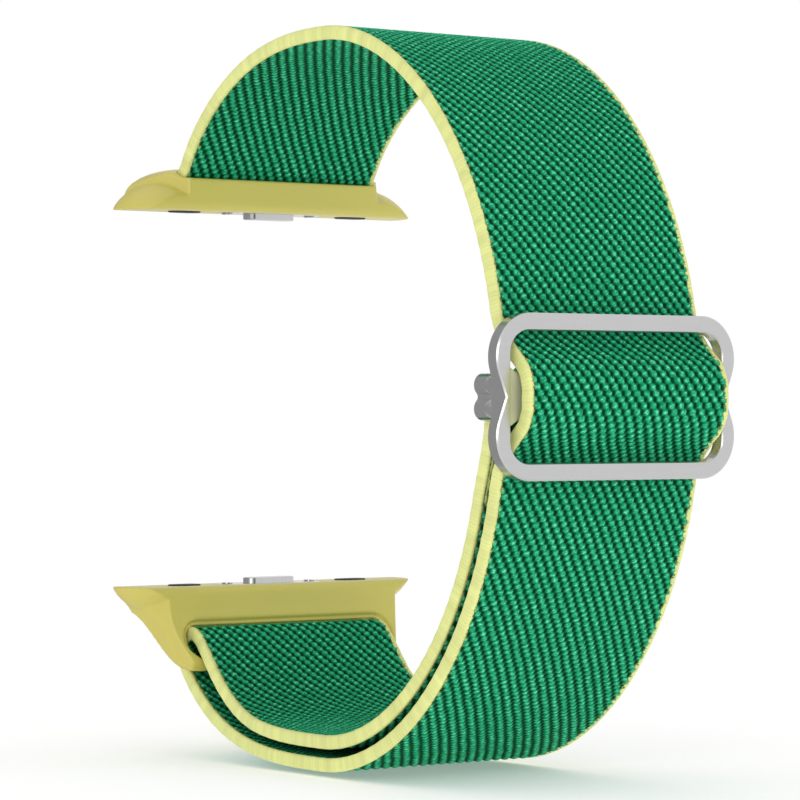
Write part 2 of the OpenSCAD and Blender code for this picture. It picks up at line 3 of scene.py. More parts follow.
import bmesh
import bpy
import numpy as np
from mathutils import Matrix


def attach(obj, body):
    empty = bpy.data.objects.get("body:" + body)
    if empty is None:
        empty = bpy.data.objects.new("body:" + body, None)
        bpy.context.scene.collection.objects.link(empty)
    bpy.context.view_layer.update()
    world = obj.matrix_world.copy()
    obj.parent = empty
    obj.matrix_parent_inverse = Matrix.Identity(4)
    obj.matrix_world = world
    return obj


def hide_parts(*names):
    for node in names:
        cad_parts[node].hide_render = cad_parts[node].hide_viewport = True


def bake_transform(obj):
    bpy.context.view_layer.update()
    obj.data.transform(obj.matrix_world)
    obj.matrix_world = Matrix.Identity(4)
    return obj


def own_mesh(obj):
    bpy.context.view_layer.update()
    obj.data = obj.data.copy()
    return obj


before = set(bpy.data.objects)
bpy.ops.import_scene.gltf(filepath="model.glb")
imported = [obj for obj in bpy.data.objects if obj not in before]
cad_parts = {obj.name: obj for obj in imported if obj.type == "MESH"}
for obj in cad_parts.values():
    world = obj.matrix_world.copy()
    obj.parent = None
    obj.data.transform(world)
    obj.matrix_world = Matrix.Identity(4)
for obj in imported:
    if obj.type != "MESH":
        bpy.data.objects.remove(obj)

bl_info = {
    "name": "Elastic Watch Band",
    "version": (1, 0, 0),
    "blender": (4, 5, 0),
    "location": "View3D > Sidebar > Watch Band",
    "description": "Builds the woven band, its buckle and its lugs round the packed frame",
    "category": "Add Mesh",
}

MM = 0.001


# Settings


class BandSettings(bpy.types.PropertyGroup):
    webbing_colour: bpy.props.FloatVectorProperty(
        name="Webbing", description="Colour of the woven yarn",
        subtype="COLOR", size=3, min=0, max=1, default=(0.008, 0.24, 0.105))
    selvedge_colour: bpy.props.FloatVectorProperty(
        name="Selvedge", description="Colour of the two woven edges",
        subtype="COLOR", size=3, min=0, max=1, default=(0.65, 0.675, 0.25))
    lug_colour: bpy.props.FloatVectorProperty(
        name="Lugs", description="Colour of the paint on both lugs",
        subtype="COLOR", size=3, min=0, max=1, default=(0.56, 0.485, 0.1))
    steel_colour: bpy.props.FloatVectorProperty(
        name="Steel", description="Colour of the satin steel of the buckle",
        subtype="COLOR", size=3, min=0, max=1, default=(0.56, 0.56, 0.56))
    yarn_depth: bpy.props.FloatProperty(
        name="Yarn depth", description="How deep the gaps between the woven floats are",
        unit="LENGTH", subtype="DISTANCE", min=0.0, max=0.0004, default=0.00024)
    tooth_depth: bpy.props.FloatProperty(
        name="Tooth depth", description="How far the green yarn reaches into the selvedge",
        unit="LENGTH", subtype="DISTANCE", min=0.0, max=0.0004, default=0.0002)


# The band's path in the side view, as [y, z] points in millimetres


# Width and thickness of the strap, width of a selvedge, half width of the green between
BAND_W, BAND_T = 24.0, 1.4
SELVEDGE_W = 0.55
CORE = BAND_W / 2 - SELVEDGE_W
# The sewn end: its width round the bar and the thickness of its pressed tail
LOOP_W, TAIL_T = 19.0, 0.5
# The loop's centre and its reach up, down, to the front and to the back
CENTRE, TOP, BOTTOM, FRONT, BACK = 26.0, 35.9, 36.1, 28.3, 30.2
# Powers of its rounded quarters: in front, at the upper back and at the lower back
FRONT_POWER, UPPER_POWER, LOWER_POWER = 1.95, 2.4, 3
# The middle bar: its axis, the height of its round ends and their radius
BAR_Y, BAR_END_Z, BAR_R = -53.93, 0.575, 1.025
HALF = BAND_T / 2
# Play of the sewn end on the bar, of the strap on the sewn end, of the inner run inside the
# outer one and of the strap in the lower lug's slot
BAR_PLAY, CREST_PLAY, RUN_PLAY, SLOT_PLAY = 0.1, 0.25, 0.8, 0.07
# Mid-thickness radii of the sewn end round the bar and of the strap over it, the angle that
# the strap lies on it for, either side, and how far in the middle of the inner run lies
RING_MID = BAR_R + BAR_PLAY + HALF
OVER_R = RING_MID + BAND_T + CREST_PLAY
CREST_ANGLE = 50
INSET = HALF + BAND_T + RUN_PLAY
# Heights at which the strap bends away to the bar, outside and inside
JOINT_Z, INNER_JOINT_Z = 8.0, 9.5
# Where the strap meets the lugs, and where its two runs leave the lower quarter
LUG_Z, LEAVE_Z, INNER_LEAVE_Y = 23.1, 27, 15.5


def bezier(a, b, c, d, steps=40):
    """Points along a cubic curve."""
    t = np.linspace(0, 1, steps + 1)[:, None]
    a, b, c, d = (np.asarray(p, float) for p in (a, b, c, d))
    return (1 - t) ** 3 * a + 3 * (1 - t) ** 2 * t * b + 3 * (1 - t) * t * t * c + t ** 3 * d


def quarter(reach, height, power, first, last, steps=160):
    """Points along a quarter of the loop, between two angles in degrees."""
    angle = np.radians(np.linspace(first, last, steps + 1))
    cos = np.clip(np.cos(angle), 0, 1) ** (2 / power)
    sin = np.clip(np.sin(angle), 0, 1) ** (2 / power)
    return np.stack([-CENTRE + reach * cos, height * sin], 1)


def at_height(height, z, power):
    """The angle at which such a quarter is at z."""
    return math.degrees(math.asin((z / height) ** (power / 2)))


def heading(path, i):
    """The direction of the path at its point i."""
    step = path[min(i + 1, len(path) - 1)] - path[max(i - 1, 0)]
    return step / np.linalg.norm(step)


def flipped(path):
    return path * np.array([1.0, -1.0])


def joined(*parts):
    """One path from parts that each start where the last one ends."""
    return np.concatenate([parts[0]] + [p[1:] for p in parts[1:]])


def crest_point(angle, side):
    """A point of the strap over the bar, above (1) or below (-1) its middle."""
    a = math.radians(angle)
    return np.array([BAR_Y - OVER_R * math.cos(a), side * (BAR_END_Z + OVER_R * math.sin(a))])


def shoulder(point, direction, side):
    """The bend from a run of the strap to the crest over the bar."""
    a = math.radians(CREST_ANGLE)
    out = np.array([math.sin(a), side * math.cos(a)])
    end = crest_point(CREST_ANGLE, side)
    return bezier(point, point + 2.2 * direction, end + 1.9 * out, end, 30)


class Path:
    """A polyline with its arc length, read at any distance along it."""

    def __init__(self, points):
        self.points = np.asarray(points, float)
        self.s = np.concatenate(
            [[0], np.cumsum(np.linalg.norm(np.diff(self.points, axis=0), axis=1))])

    def at(self, s):
        return np.stack([np.interp(s, self.s, self.points[:, k]) for k in (0, 1)], 1)

    def frames(self, s):
        """Points and left-hand normals at the distances s, with the corners eased."""
        s = np.asarray(s, float)
        ease = 0.12
        ahead, behind = self.at(s + ease), self.at(s - ease)
        away = ahead - behind
        away /= np.linalg.norm(away, axis=1)[:, None]
        return self.at(s), np.stack([-away[:, 1], away[:, 0]], 1)

    def distance_to(self, point):
        return float(self.s[np.argmin(np.linalg.norm(self.points - np.asarray(point), axis=1))])


def band_path():
    """The whole strap from its end in the upper lug to the top of its sewn end."""
    mouth, pocket = np.array([-1.7, LUG_Z]), np.array([2, -2.8]) / math.hypot(2, 2.8)
    back = quarter(BACK - HALF, TOP - HALF, UPPER_POWER, 45, 90)
    upper = joined(
        np.array([mouth + 1.65 * pocket, mouth]),
        bezier(mouth, mouth - 1.6 * pocket, back[0] - 1.6 * heading(back, 0), back[0]),
        back,
        quarter(-FRONT + HALF, TOP - HALF, FRONT_POWER, 90,
                at_height(TOP - HALF, JOINT_Z, FRONT_POWER)))
    front_low = flipped(quarter(-FRONT + HALF, BOTTOM - HALF, FRONT_POWER,
                                at_height(BOTTOM - HALF, JOINT_Z, FRONT_POWER), 90))
    crest = np.array([crest_point(abs(a), 1 if a < 0 else -1)
                      for a in np.linspace(-CREST_ANGLE, CREST_ANGLE, 41)])
    over = joined(shoulder(upper[-1], heading(upper, len(upper) - 1), 1), crest,
                  shoulder(front_low[0], -heading(front_low, 0), -1)[::-1])
    back_low = flipped(quarter(BACK - HALF, BOTTOM - HALF, LOWER_POWER, 90,
                               at_height(BOTTOM - HALF, LEAVE_Z, LOWER_POWER)))
    inner_start = math.degrees(math.acos(
        ((CENTRE - INNER_LEAVE_Y) / (BACK - INSET)) ** (LOWER_POWER / 2)))
    inner = flipped(quarter(BACK - INSET, BOTTOM - INSET, LOWER_POWER, inner_start, 90))
    turn_top = np.array([-3.4, -LUG_Z - SLOT_PLAY - HALF])
    turn = joined(
        bezier(back_low[-1], back_low[-1] + 1.4 * heading(back_low, len(back_low) - 1),
               turn_top + [1.9, 0], turn_top),
        bezier(turn_top, turn_top - [2.2, 0], inner[0] - 8 * heading(inner, 0), inner[0], 80))
    inner_front = flipped(quarter(-FRONT + INSET, BOTTOM - INSET, FRONT_POWER, 90,
                                  at_height(BOTTOM - INSET, INNER_JOINT_Z, FRONT_POWER)))
    behind = np.array([BAR_Y + RING_MID, -BAR_END_Z])
    leg = bezier(inner_front[-1],
                 inner_front[-1] + 3 * heading(inner_front, len(inner_front) - 1),
                 behind - [0, 3.5], behind, 60)
    a = np.radians(np.linspace(0, 180, 49))
    over_the_top = np.stack([BAR_Y + RING_MID * np.cos(a), BAR_END_Z + RING_MID * np.sin(a)], 1)
    ring_low = np.array([BAR_Y - RING_MID, -BAR_END_Z])
    tail_from, tail_to = 34, 10
    tail = []
    for i in range(tail_from, tail_to - 1, -1):
        h = heading(leg, i)
        tail.append(leg[i] + (HALF + TAIL_T / 2) * np.array([-h[1], h[0]]))
    under = bezier(ring_low, ring_low - [0, 2.3], tail[0] + 1.6 * heading(leg, tail_from),
                   tail[0], 30)
    whole = joined(upper, over, front_low, back_low, turn, inner, inner_front, leg,
                   over_the_top, np.array([over_the_top[-1], ring_low]), under, np.array(tail))
    marks = {
        "start": whole[0], "top": np.array([-CENTRE, TOP - HALF]),
        "upper_joint": upper[-1], "crest": crest_point(0, 1) * [1, 0],
        "lower_joint": front_low[0],
        "bottom": np.array([-CENTRE, -(BOTTOM - HALF)]), "turn": turn_top,
        "inner_bottom": np.array([-CENTRE, -(BOTTOM - INSET)]), "inner_joint": inner_front[-1],
        "behind": behind, "under": under[0], "tail": tail[0],
    }
    path = Path(whole)
    path.mark = {k: path.distance_to(v) for k, v in marks.items()}
    # The sewn end narrows just before the selvedge stops
    path.mark["narrowing"] = path.mark["behind"] - 1.9
    path.mark["selvedge_stop"] = path.mark["behind"] - 1.65
    path.mark["end"] = path.s[-1]
    path.leg = Path(leg)
    return path


# The weave, in geometry and in the materials, on the cloth's coordinates in millimetres


# Floats to a millimetre across and along the band, with the spacings that they give
ACROSS, ALONG = 0.8795, 0.6154
FLOAT_W, FLOAT_PITCH = 1.137, 1.625
# How far the floats drift from their places, and the two waves that they drift by
DRIFT, DRIFT_ONE, DRIFT_TWO = 0.28, (-1.13, 0.61), (1.71, 0.87)
# The mean height of the weave and the share of each of its three waves
MEAN, WAVE_ONE, WAVE_TWO, WAVE_BOTH = 0.5, 0.27, 0.16, 0.07
RIB_PITCH = 0.36
# Distances from the middle of the band at which the green's colour turns to the selvedge's,
# and the coordinate that marks a side bound in the selvedge's yarn
SPECKS_FROM, RIM_FROM, TEETH_FROM, FRINGE_FROM, BOUND_FROM, BOUND = (
    11.22, 11.38, 11.38, 11.5, 12.0, 12.3)


def yarn(u, s):
    """Height of the weave, 0 in a gap and 1 on a float, at u across and s along the band."""
    drift = (DRIFT * np.sin(DRIFT_ONE[1] * s + DRIFT_ONE[0] * u)
             * np.sin(DRIFT_TWO[0] * u + DRIFT_TWO[1] * s))
    one = 2 * np.pi * (-ACROSS * u + ALONG * s) + drift
    two = 2 * np.pi * (ACROSS * u + 2 * ALONG * s) - drift
    bead = (MEAN + WAVE_ONE * np.cos(one) + WAVE_TWO * np.cos(two)
            + WAVE_BOTH * np.cos(one + two))
    return np.clip(bead, 0, 1)


def tooth(s):
    """How far the green reaches into the selvedge at s, from 0 to 1."""
    tips = [(0.5 + 0.5 * np.cos(2 * np.pi * (ALONG * s + shift))) ** sharp * high
            for shift, sharp, high in ((0.0, 3, 1.0), (0.36, 4, 0.55), (0.63, 4, 0.7))]
    return np.maximum.reduce(tips) * (0.82 + 0.18 * np.sin(1.9 * s) * np.sin(0.73 * s + 1))


def clean(name):
    """A new empty object."""
    obj = bpy.data.objects.new(name, bpy.data.meshes.new(name))
    bpy.context.scene.collection.objects.link(obj)
    return obj


def only(obj, editing=False):
    """Leaves one object selected and active, with all of it picked in edit mode if asked."""
    bpy.ops.object.select_all(action="DESELECT")
    obj.select_set(True)
    bpy.context.view_layer.objects.active = obj
    if editing:
        bpy.ops.object.mode_set(mode="EDIT")
        bpy.ops.mesh.select_all(action="SELECT")


def edited():
    """Ends the edit, with nothing left picked."""
    bpy.ops.mesh.select_all(action="DESELECT")
    bpy.ops.object.mode_set(mode="OBJECT")


def sweep(name, x, v, points, normals, u, s):
    """A closed band from rows of section points: x across, v to the left of the path, and
    u and s for the cloth's coordinates."""
    rows, cols = x.shape
    co = np.empty((rows, cols, 3))
    co[..., 0] = x
    co[..., 1] = points[:, None, 0] + v * normals[:, None, 0]
    co[..., 2] = points[:, None, 1] + v * normals[:, None, 1]
    ring = np.arange(cols)
    nxt = (ring + 1) % cols
    base = (np.arange(rows - 1) * cols)[:, None]
    quads = np.stack([base + ring, base + nxt, base + cols + nxt, base + cols + ring], -1)
    caps = [ring[::-1].tolist(), ((rows - 1) * cols + ring).tolist()]
    obj = clean(name)
    mesh = obj.data
    mesh.from_pydata((co.reshape(-1, 3) * MM).tolist(), [], quads.reshape(-1, 4).tolist() + caps)
    layer = mesh.uv_layers.new(name="Cloth")
    index = np.empty(len(mesh.loops), np.int32)
    mesh.loops.foreach_get("vertex_index", index)
    flat = np.stack([u.ravel(), np.broadcast_to(s[:, None], x.shape).ravel()], 1)
    layer.data.foreach_set("uv", flat[index].astype(np.float32).ravel())
    mesh.polygons.foreach_set("use_smooth", np.ones(len(mesh.polygons), bool))
    edges = np.empty(len(mesh.edges) * 2, np.int32)
    mesh.edges.foreach_get("vertices", edges)
    edges = edges.reshape(-1, 2)
    first = (edges < cols).all(1)
    last = (edges >= (rows - 1) * cols).all(1)
    sharp = mesh.attributes.new("sharp_edge", "BOOLEAN", "EDGE")
    sharp.data.foreach_set("value", first | last)
    mesh.update()
    face_outwards(obj)
    return obj


def face_outwards(obj):
    only(obj, editing=True)
    bpy.ops.mesh.normals_make_consistent(inside=False)
    edited()


def webbing(name, path, start, end, settings, outer=3, inner=3, pitch=0.1354,
            half_width=None, thickness=None, bound=False):
    """A length of webbing with its floats standing out of both faces. outer and inner give
    how many columns each third of a float has on that face. A bound length has straight
    sides in the selvedge's yarn, and the others reach into the selvedge with teeth."""
    rows = max(3, int(round((end - start) / pitch)) + 1)
    s = np.linspace(start, end, rows)
    points, normals = path.frames(s)
    half = np.full(rows, CORE) if half_width is None else half_width(s)
    thick = np.full(rows, BAND_T) if thickness is None else thickness(s)
    reach = np.zeros(rows) if bound else tooth(s) * settings.tooth_depth / MM
    depth = settings.yarn_depth / MM
    plump, tooth_sharp, side_w, side_fall, bound_w = 1.35, 40, 0.2, 0.17, 0.35
    xs, vs, us = [], [], []
    for face, fine in ((-1, outer), (1, inner)):
        count = int(round(2 * CORE / (FLOAT_W / 3 / fine)))
        g = np.linspace(-1, 1, count + 1)
        x = half[:, None] * g[None, :]
        x = x + np.sign(g)[None, :] * reach[:, None] * np.abs(g)[None, :] ** tooth_sharp
        u = x if face < 0 else -x
        lift = yarn(u, s[:, None])
        lift = 1 - (1 - lift) ** plump
        edge = np.clip((np.abs(x) - (half + 0.7 * reach)[:, None] + side_w / 2) / side_w, 0, 1.3)
        v = thick[:, None] / 2 - depth * (1 - lift) * np.minimum(1, thick[:, None])
        v = v - side_fall * edge ** 2
        if bound:
            rim = np.clip((np.abs(x) - half[:, None] + bound_w) / side_w, 0, 1)
            u = u + np.sign(u) * rim * (BOUND - np.abs(u))
        if face < 0:
            xs.append(x), vs.append(-v), us.append(u)
        else:
            xs.append(x[:, ::-1]), vs.append(v[:, ::-1]), us.append(u[:, ::-1])
    return sweep(name, np.concatenate(xs, 1), np.concatenate(vs, 1), points, normals,
                 np.concatenate(us, 1), s)


# A selvedge's section, as distances from the band's side and through its thickness
SECTION = [(-0.95, -0.42), (-0.62, -0.52), (-0.45, -0.62), (-0.3, -0.68), (-0.16, -0.66),
           (-0.07, -0.57), (-0.02, -0.4), (0.0, -0.2), (0.0, 0.2), (-0.02, 0.4),
           (-0.07, 0.57), (-0.16, 0.66), (-0.3, 0.68), (-0.45, 0.62), (-0.62, 0.52),
           (-0.95, 0.42)]


def selvedge(name, path, start, end, pitch=0.09):
    """Both woven edges of a length of the band, rounded, with fine ribs across them."""
    rows = max(3, int(round((end - start) / pitch)) + 1)
    s = np.linspace(start, end, rows)
    points, normals = path.frames(s)
    across, through = np.array(SECTION).T
    fine, coarse = 0.006, 0.012
    rib = (fine * np.cos(2 * np.pi * s / RIB_PITCH)
           + coarse * np.cos(2 * np.pi * s / FLOAT_PITCH))[:, None]
    pieces = []
    for side, hand in ((-1, "left"), (1, "right")):
        x = side * (BAND_W / 2 + across + rib * (across > -0.2))
        v = through * (1 + 0.6 * rib)
        pieces.append(sweep(f"{name}_{hand}", x, v, points, normals, x, s))
    return join(pieces, name)


def join(objects, name):
    only(objects[0])
    for obj in objects[1:]:
        obj.select_set(True)
    bpy.ops.object.join()
    objects[0].name = name
    objects[0].data.name = name
    return objects[0]


# Materials


# The node groups, finishes and path that more than one piece uses
MADE = {}


def tree_of(name):
    material = bpy.data.materials.new(name)
    material.use_nodes = True
    material.node_tree.nodes.clear()
    return material, material.node_tree


def add(tree, kind, inputs=None, **values):
    """A new node, with its inputs linked where a socket is given, or else set."""
    node = tree.nodes.new(kind)
    for key, value in values.items():
        setattr(node, key, value)
    for key, value in (inputs or {}).items():
        if isinstance(value, bpy.types.NodeSocket):
            tree.links.new(value, node.inputs[key])
        else:
            node.inputs[key].default_value = value
    return node


def maths(tree, operation, a, b=0.0, c=0.0, clamp=False):
    return add(tree, "ShaderNodeMath", {0: a, 1: b, 2: c}, operation=operation,
               use_clamp=clamp).outputs[0]


def mix_colour(tree, factor, a, b, blend="MIX"):
    return add(tree, "ShaderNodeMix", {0: factor, 6: a, 7: b}, data_type="RGBA",
               blend_type=blend).outputs[2]


def shaded(tree, colour, shade):
    """The colour times a value that changes over the surface."""
    grey = add(tree, "ShaderNodeCombineColor", {0: shade, 1: shade, 2: shade})
    return mix_colour(tree, 1.0, colour, grey.outputs[0], "MULTIPLY")


def scaled(tree, vector, by):
    return add(tree, "ShaderNodeVectorMath", {0: vector, 1: by},
               operation="MULTIPLY").outputs[0]


def noise(tree, vector, scale, detail=3.0, rough=0.5):
    return add(tree, "ShaderNodeTexNoise", {"Vector": vector, "Scale": scale, "Detail": detail,
                                            "Roughness": rough}).outputs[0]


def bumped(tree, height, strength, distance):
    return add(tree, "ShaderNodeBump", {"Height": height, "Strength": strength,
                                        "Distance": distance}).outputs[0]


def surface(tree, inputs):
    """Ends a material with its shader."""
    shader = add(tree, "ShaderNodeBsdfPrincipled", inputs)
    add(tree, "ShaderNodeOutputMaterial", {"Surface": shader.outputs[0]})


def group(name, inputs, outputs):
    """A new node group with named inputs and outputs."""
    tree = bpy.data.node_groups.new(name, "ShaderNodeTree")
    for label, kind, value in inputs:
        socket = tree.interface.new_socket(name=label, in_out="INPUT", socket_type=kind)
        if value is not None:
            socket.default_value = value
    for label, kind in outputs:
        tree.interface.new_socket(name=label, in_out="OUTPUT", socket_type=kind)
    return tree, tree.nodes.new("NodeGroupInput"), tree.nodes.new("NodeGroupOutput")


def once(name, make):
    """What make gives, made at the first call only."""
    if name not in MADE:
        MADE[name] = make()
    return MADE[name]


def place(tree, grouped, inputs):
    return add(tree, "ShaderNodeGroup", inputs, node_tree=grouped)


def weave_group():
    """Floats and fibres of the twill, from the cloth's own coordinates in millimetres."""
    tree, given, out = group(
        "Twill Weave",
        [("Cloth", "NodeSocketVector", None), ("Fibre Scale", "NodeSocketFloat", 3.4),
         ("Glint Scale", "NodeSocketFloat", 2.5), ("Drift", "NodeSocketFloat", DRIFT)],
        [("Float", "NodeSocketFloat"), ("Fibre", "NodeSocketFloat"),
         ("Glint", "NodeSocketFloat")])
    split = add(tree, "ShaderNodeSeparateXYZ", {0: given.outputs["Cloth"]})
    u, s = split.outputs[0], split.outputs[1]

    def phase(across, along):
        return maths(tree, "ADD", maths(tree, "MULTIPLY", u, across),
                     maths(tree, "MULTIPLY", s, along))

    drift = maths(tree, "MULTIPLY", maths(tree, "SINE", phase(*DRIFT_ONE)),
                  maths(tree, "SINE", phase(*DRIFT_TWO)))
    drift = maths(tree, "MULTIPLY", drift, given.outputs["Drift"])
    turn = 2 * math.pi
    one = maths(tree, "ADD", phase(-ACROSS * turn, ALONG * turn), drift)
    two = maths(tree, "SUBTRACT", phase(ACROSS * turn, 2 * ALONG * turn), drift)
    bead = maths(tree, "MULTIPLY_ADD", maths(tree, "COSINE", one), WAVE_ONE, MEAN)
    bead = maths(tree, "MULTIPLY_ADD", maths(tree, "COSINE", two), WAVE_TWO, bead)
    bead = maths(tree, "MULTIPLY_ADD", maths(tree, "COSINE", maths(tree, "ADD", one, two)),
                 WAVE_BOTH, bead, clamp=True)
    turned = add(tree, "ShaderNodeMapping", {"Vector": given.outputs["Cloth"],
                                             "Rotation": (0, 0, math.radians(24))}).outputs[0]
    fibre = noise(tree, scaled(tree, turned, (1.0, 4.2, 1.0)), given.outputs["Fibre Scale"],
                  2.0, 0.6)
    glint = noise(tree, scaled(tree, turned, (1.0, 1.9, 1.0)), given.outputs["Glint Scale"],
                  2.0, 0.7)
    spread = maths(tree, "MULTIPLY_ADD", glint, 3.0, -1.0, clamp=True)
    for name, value in (("Float", bead), ("Fibre", fibre), ("Glint", spread)):
        tree.links.new(value, out.inputs[name])
    return tree


def wear_group():
    """Fine grain and faint handling marks for painted and bare metal."""
    tree, given, out = group(
        "Surface Grain",
        [("Place", "NodeSocketVector", None), ("Grain Scale", "NodeSocketFloat", 2600.0),
         ("Stretch", "NodeSocketVector", (1.0, 1.0, 1.0)),
         ("Mark Scale", "NodeSocketFloat", 260.0)],
        [("Grain", "NodeSocketFloat"), ("Marks", "NodeSocketFloat")])
    spot, stretch = given.outputs["Place"], given.outputs["Stretch"]
    grain = noise(tree, scaled(tree, spot, stretch), given.outputs["Grain Scale"], 3.0, 0.55)
    marks = noise(tree, spot, given.outputs["Mark Scale"], 4.0, 0.65)
    tree.links.new(grain, out.inputs["Grain"])
    tree.links.new(marks, out.inputs["Marks"])
    return tree


def rgba(colour, scale=1.0):
    return (*[min(1.0, c * scale) for c in colour], 1.0)


def webbing_material(settings):
    """Green floats with painted highlights over gaps darkened with painted shade; the webbing
    takes on the selvedge's yarn towards the sides.
    """
    material, tree = tree_of("Woven Webbing")
    cloth = add(tree, "ShaderNodeUVMap", uv_map="Cloth").outputs[0]
    weave = place(tree, once("weave", weave_group), {"Cloth": cloth}).outputs
    red, green, blue = settings.webbing_colour
    # Painted shade and highlight: the ramp darkens the gaps between the floats and lightens the
    # floats' tops.
    ramp = add(tree, "ShaderNodeValToRGB", {0: weave["Float"]})
    stops = ramp.color_ramp.elements
    stops[0].position, stops[0].color = 0.24, rgba((red * 0.02, green * 0.15, blue * 0.1))
    stops[1].position, stops[1].color = 0.9, rgba((red * 2.2, green * 1.65, blue * 1.75))
    middle = stops.new(0.55)
    middle.color = rgba((red, green, blue))
    # Painted glints, partly tone that differs at random: the glint and fibre noise lighten some
    # floats and darken others.
    shade = maths(tree, "MULTIPLY_ADD", weave["Glint"], 0.75, 0.27)
    shade = maths(tree, "MULTIPLY_ADD", weave["Fibre"], 0.75, shade)
    tinted = shaded(tree, ramp.outputs[0], shade)
    # Painted highlight: a pale green on the floats' tops where the glint noise is high.
    lit = maths(tree, "MULTIPLY_ADD", weave["Glint"], 2.2, -1.1, clamp=True)
    crown_highlight_mask = maths(tree, "MULTIPLY_ADD", weave["Float"], 2.4, -1.1, clamp=True)
    tinted = mix_colour(tree, maths(tree, "MULTIPLY", lit, crown_highlight_mask), tinted,
                        rgba((red + 0.16, green * 2.9, blue * 4.1)))
    across = distance_across(tree, cloth)
    rim = maths(tree, "MULTIPLY", maths(tree, "SUBTRACT", across, RIM_FROM), 5.0, clamp=True)
    tinted = mix_colour(tree, maths(tree, "MULTIPLY", rim, 0.45), tinted, (0.32, 0.42, 0.06, 1))
    speck = maths(tree, "MULTIPLY_ADD", noise(tree, cloth, 3.1, 2.0, 0.6), 7.0, -3.6,
                  clamp=True)
    near = maths(tree, "MULTIPLY", maths(tree, "SUBTRACT", across, SPECKS_FROM), 6.0,
                 clamp=True)
    tinted = mix_colour(tree, maths(tree, "MULTIPLY", near, speck), tinted,
                        (0.5, 0.32, 0.08, 1))
    binding = maths(tree, "MULTIPLY_ADD", across, 5.0, -5.0 * BOUND_FROM, clamp=True)
    tinted = mix_colour(tree, binding, tinted, rgba(settings.selvedge_colour))
    surface(tree, {
        "Base Color": tinted, "Specular IOR Level": 0.03,
        "Roughness": maths(tree, "MULTIPLY_ADD", weave["Fibre"], 0.2, 0.55),
        "Normal": bumped(tree, weave["Fibre"], 0.6, 0.00008)})
    return material


def distance_across(tree, cloth):
    """The distance from the middle of the band, on either side."""
    split = add(tree, "ShaderNodeSeparateXYZ", {0: cloth})
    return maths(tree, "ABSOLUTE", split.outputs[0])


def selvedge_material(settings):
    """Pale ribbed yarn, with the tips of the green and an orange fringe on its inner side."""
    material, tree = tree_of("Woven Selvedge")
    cloth = add(tree, "ShaderNodeUVMap", uv_map="Cloth").outputs[0]
    along = add(tree, "ShaderNodeSeparateXYZ", {0: cloth}).outputs[1]
    across = distance_across(tree, cloth)
    ladder = maths(tree, "COSINE", maths(tree, "MULTIPLY", along, 2 * math.pi / RIB_PITCH))
    fuzz = noise(tree, scaled(tree, cloth, (3.0, 9.0, 1.0)), 1.6)
    height = maths(tree, "MULTIPLY_ADD", ladder, 0.1, maths(tree, "MULTIPLY", fuzz, 0.7))
    shade = maths(tree, "MULTIPLY_ADD", noise(tree, cloth, 0.9, 3.0, 0.6), 0.5,
                  maths(tree, "MULTIPLY_ADD", height, 0.28, 0.64))
    tinted = shaded(tree, rgba(settings.selvedge_colour), shade)
    tips = noise(tree, scaled(tree, cloth, (0.4, 1.0, 1.0)), 1.7, 3.0, 0.7)
    beat = maths(tree, "COSINE", maths(tree, "MULTIPLY", along, 4 * math.pi * ALONG))
    reach = maths(tree, "MULTIPLY_ADD", tips, 2.7, -1.22)
    reach = maths(tree, "MAXIMUM", maths(tree, "MULTIPLY_ADD", beat, 0.07, reach), 0.0)
    reach = maths(tree, "MINIMUM", reach, 0.28)
    edge = maths(tree, "SUBTRACT", reach, across)
    fringe = maths(tree, "MULTIPLY_ADD", edge, 7.0, 7.0 * FRINGE_FROM, clamp=True)
    speck = maths(tree, "MULTIPLY_ADD", noise(tree, cloth, 3.1, 2.0, 0.6), 5.0, -2.2,
                  clamp=True)
    tinted = mix_colour(tree, maths(tree, "MULTIPLY", fringe, speck), tinted,
                        (0.56, 0.3, 0.07, 1))
    teeth = maths(tree, "MULTIPLY_ADD", edge, 11.0, 11.0 * TEETH_FROM, clamp=True)
    tinted = mix_colour(tree, teeth, tinted, rgba(settings.webbing_colour, 1.15))
    surface(tree, {
        "Base Color": tinted, "Roughness": 0.62, "Specular IOR Level": 0.3,
        "Sheen Weight": 0.1, "Sheen Roughness": 0.4,
        "Normal": bumped(tree, height, 0.35, 0.00004)})
    return material


def thread_material(settings):
    """Sewing thread in the selvedge's colour."""
    material, tree = tree_of("Sewing Thread")
    spot = add(tree, "ShaderNodeTexCoord").outputs["Object"]
    grain = place(tree, once("wear", wear_group), {
        "Place": spot, "Grain Scale": 9000.0, "Stretch": (0.4, 1.0, 1.0)}).outputs["Grain"]
    shade = maths(tree, "MULTIPLY_ADD", grain, 0.5, 0.7)
    surface(tree, {
        "Base Color": shaded(tree, rgba(settings.selvedge_colour), shade), "Roughness": 0.6,
        "Sheen Weight": 0.1, "Normal": bumped(tree, grain, 0.5, 0.00003)})
    return material


def metal_material(name, colour, rough, stretch=(1.0, 1.0, 1.0), metallic=1.0, grain=0.06,
                   coat=0.0, depth=0.000004):
    """Metal, paint or rubber: stretch draws its grain out, and depth is that of the grain."""
    material, tree = tree_of(name)
    spot = add(tree, "ShaderNodeTexCoord").outputs["Object"]
    wear = place(tree, once("wear", wear_group), {"Place": spot, "Stretch": stretch}).outputs
    shade = maths(tree, "MULTIPLY_ADD", wear["Grain"], grain, 1 - grain / 2)
    surface(tree, {
        "Base Color": shaded(tree, rgba(colour), shade), "Metallic": metallic,
        "Roughness": maths(tree, "MULTIPLY_ADD", wear["Marks"], 0.14, rough - 0.07),
        "Coat Weight": coat, "Coat Roughness": 0.25,
        "Normal": bumped(tree, wear["Grain"], 0.4, depth)})
    return material


